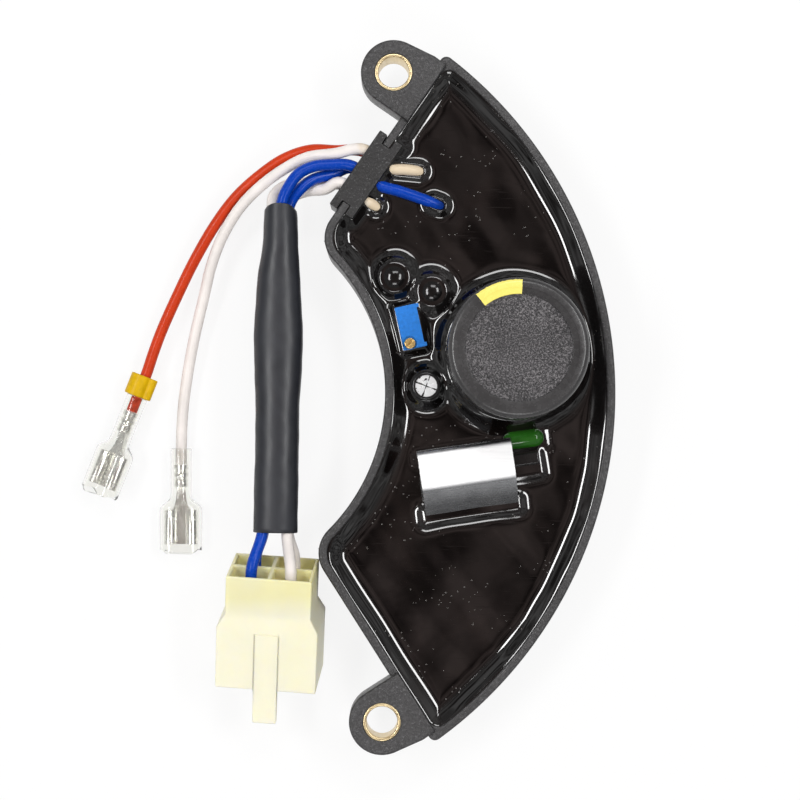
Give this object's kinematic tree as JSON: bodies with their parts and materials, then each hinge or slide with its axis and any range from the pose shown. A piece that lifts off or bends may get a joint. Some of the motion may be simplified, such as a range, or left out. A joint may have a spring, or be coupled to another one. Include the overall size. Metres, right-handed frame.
{
  "type": "automatic voltage regulator",
  "caption": "Crescent-shaped potted voltage regulator for a portable generator, with brass-bushed ears, a trimmer, a large capacitor, spade leads and a plug-in connector.",
  "frame": {"origin": "midway between the two mounting bolts, on the plane that the ears seat on", "axes": "+Y from the lower bolt to the upper one, +Z out of the open side of the tray, +X towards the convex side"},
  "size_m": [0.1174, 0.1542, 0.0356],
  "materials": {
    "black_moulding": "fine texture",
    "brass": "turned",
    "resin": "poured, glossy",
    "board": "laminate",
    "can": "drawn",
    "top_board": "coarse fibre",
    "shrink_sleeve": "satin",
    "trimmer_blue": "satin",
    "sheet_aluminium": "rolled",
    "black_epoxy": "moulded",
    "green_coat": "dipped",
    "resistor_coat": "coated",
    "red_insulation": "smooth",
    "white_insulation": "smooth",
    "blue_insulation": "smooth",
    "ivory_nylon": "translucent",
    "tinned_brass": "tinned",
    "clear_sleeve": "clear",
    "yellow_tag": "satin"
  },
  "bodies": {
    "regulator": {"housing": "black_moulding", "upper_bush": "brass", "lower_bush": "brass", "wire_clip": "black_moulding", "potting_resin": "resin", "circuit_board": "board", "capacitor_can": "can", "capacitor_top_disc": "top_board", "capacitor_sleeve": "shrink_sleeve", "dipped_capacitor_upper": "resin", "dipped_capacitor_lower": "resin", "bare_capacitor_can": "can", "bare_capacitor_sleeve": "shrink_sleeve", "trimmer_body": "trimmer_blue", "heat_sink": "sheet_aluminium", "power_transistor": "black_epoxy", "film_capacitor": "green_coat", "rectifier_diodes": "black_epoxy", "resistors": "resistor_coat", "control_chip": "black_epoxy", "red_lead": "red_insulation", "white_lead": "white_insulation", "blue_lead_outer": "blue_insulation", "blue_lead_inner": "blue_insulation", "connector_white_lead_upper": "white_insulation", "connector_white_lead_lower": "white_insulation", "lead_sleeve": "shrink_sleeve", "connector_housing": "ivory_nylon", "connector_tabs": "tinned_brass", "red_spade_terminal": "tinned_brass", "red_terminal_sleeve": "clear_sleeve", "white_spade_terminal": "tinned_brass", "white_terminal_sleeve": "clear_sleeve", "marker_tag": "yellow_tag"},
    "adjuster": {"trimmer_screw": "brass"}
  },
  "joints": [
    {"name": "trimmer_adjust", "type": "hinge", "parent": "regulator", "child": "adjuster", "pos_m": [0.0046, 0.0114, 0.006], "axis": [0, 0, 1], "continuous": true}
  ]
}
